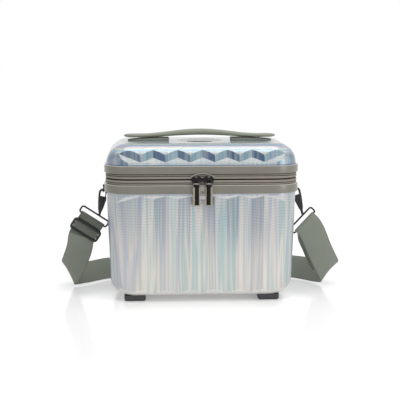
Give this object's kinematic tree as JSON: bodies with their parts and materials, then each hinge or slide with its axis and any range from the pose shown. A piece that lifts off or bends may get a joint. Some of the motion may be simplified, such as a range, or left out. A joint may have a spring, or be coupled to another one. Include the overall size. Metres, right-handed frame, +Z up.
{
  "type": "makeup train case",
  "caption": "Hard-shell makeup train case with fluted walls, a zip between rubber rim bands, a soft top handle, four feet and a clip-on webbing strap lying behind it",
  "frame": {"origin": "middle of the whole object's footprint with the strap laid out, on the ground", "axes": "+Z up, the front with the zip sliders faces -Y, +X is to the right seen from the front"},
  "size_m": [0.5442, 0.2916, 0.3153],
  "materials": {
    "shell": "glossy silver-blue with a rainbow film",
    "rim_band": "satin warm grey",
    "zip_tape": "woven",
    "zip_coil": "satin",
    "hinge_cloth": "woven",
    "slider_metal": "glossy gunmetal",
    "pull_metal": "satin champagne",
    "inlay": "matt",
    "grip": "soft sage",
    "handle_mount": "satin sage",
    "screw_steel": "plain",
    "plate": "satin",
    "foot_rubber": "matt",
    "lining": "plain weave",
    "pocket": "plain weave",
    "strap_metal": "satin black",
    "webbing": "ribbed sage webbing"
  },
  "bodies": {
    "case": {"base_shell": "shell", "base_band": "rim_band", "base_zip_tape": "zip_tape", "base_zip_coil": "zip_coil", "base_hinge_strip": "hinge_cloth", "slider_tab": "rim_band", "front_left_foot": "foot_rubber", "front_right_foot": "foot_rubber", "rear_left_foot": "foot_rubber", "rear_right_foot": "foot_rubber", "foot_screws": "screw_steel", "base_lining": "lining", "left_ring_bracket": "strap_metal", "right_ring_bracket": "strap_metal", "bracket_rivets": "screw_steel", "strap_rear_run": "webbing"},
    "lid": {"lid_shell": "shell", "lid_band": "rim_band", "lid_zip_tape": "zip_tape", "lid_zip_coil": "zip_coil", "lid_hinge_strip": "hinge_cloth", "slider_hood": "rim_band", "left_handle_mount": "handle_mount", "right_handle_mount": "handle_mount", "handle_studs": "screw_steel", "handle_screws": "screw_steel", "top_plate": "plate", "lid_lining": "lining", "lid_pocket": "pocket"},
    "handle": {"carry_handle": "grip"},
    "left_slider": {"left_slider": "slider_metal"},
    "right_slider": {"right_slider": "slider_metal"},
    "left_pull": {"left_pull": "pull_metal", "left_pull_inlay": "inlay"},
    "right_pull": {"right_pull": "pull_metal", "right_pull_inlay": "inlay"},
    "left_link": {"left_d_ring": "strap_metal", "left_strap_loop": "strap_metal", "strap_adjuster": "strap_metal", "left_strap_end": "webbing", "left_strap_fall": "webbing"},
    "right_link": {"right_d_ring": "strap_metal", "right_strap_loop": "strap_metal", "right_strap_end": "webbing", "right_strap_fall": "webbing"},
    "left_hook": {"left_hook": "strap_metal", "left_gate_pin": "screw_steel"},
    "left_gate": {"left_hook_gate": "strap_metal"},
    "right_hook": {"right_hook": "strap_metal", "right_gate_pin": "screw_steel"},
    "right_gate": {"right_hook_gate": "strap_metal"}
  },
  "joints": [
    {"name": "lid_hinge", "type": "hinge", "parent": "case", "child": "lid", "pos_m": [-0.00403, 0.07266, 0.2295], "axis": [-1, 0, 0], "range_deg": [0, 100]},
    {"name": "left_slider_slide", "type": "slide", "parent": "case", "child": "left_slider", "axis": [-1, 0, 0], "range_m": [0, 0.11]},
    {"name": "right_slider_slide", "type": "slide", "parent": "case", "child": "right_slider", "axis": [1, 0, 0], "range_m": [0, 0.111]},
    {"name": "left_pull_swing", "type": "hinge", "parent": "left_slider", "child": "left_pull", "pos_m": [-0.01613, -0.14294, 0.2205], "axis": [-1, 0, 0], "range_deg": [0, 150]},
    {"name": "right_pull_swing", "type": "hinge", "parent": "right_slider", "child": "right_pull", "pos_m": [0.00687, -0.14294, 0.2205], "axis": [-1, 0, 0], "range_deg": [0, 150]},
    {"name": "handle_lift", "type": "slide", "parent": "lid", "child": "handle", "axis": [0, 0, 1], "range_m": [0, 0.0025]},
    {"name": "left_ring_swing", "type": "hinge", "parent": "case", "child": "left_link", "pos_m": [-0.18683, -0.03284, 0.2075], "axis": [0, 1, 0], "range_deg": [0, 35]},
    {"name": "left_hook_swivel", "type": "hinge", "parent": "left_link", "child": "left_hook", "pos_m": [-0.18683, -0.03284, 0.2075], "axis": [-0.1702, 0, -0.9854], "range_deg": [-25, 25]},
    {"name": "left_gate_swing", "type": "hinge", "parent": "left_hook", "child": "left_gate", "pos_m": [-0.18533, -0.03284, 0.18329], "axis": [0, -1, 0], "range_deg": [0, 25], "stiffness_Nm_per_rad": 0.02},
    {"name": "right_ring_swing", "type": "hinge", "parent": "case", "child": "right_link", "pos_m": [0.17877, -0.03284, 0.2075], "axis": [0, -1, 0], "range_deg": [0, 35]},
    {"name": "right_hook_swivel", "type": "hinge", "parent": "right_link", "child": "right_hook", "pos_m": [0.17877, -0.03284, 0.2075], "axis": [0.279, 0, -0.9603], "range_deg": [-25, 25]},
    {"name": "right_gate_swing", "type": "hinge", "parent": "right_hook", "child": "right_gate", "pos_m": [0.17998, -0.03284, 0.18327], "axis": [0, 1, 0], "range_deg": [0, 25], "stiffness_Nm_per_rad": 0.02}
  ]
}
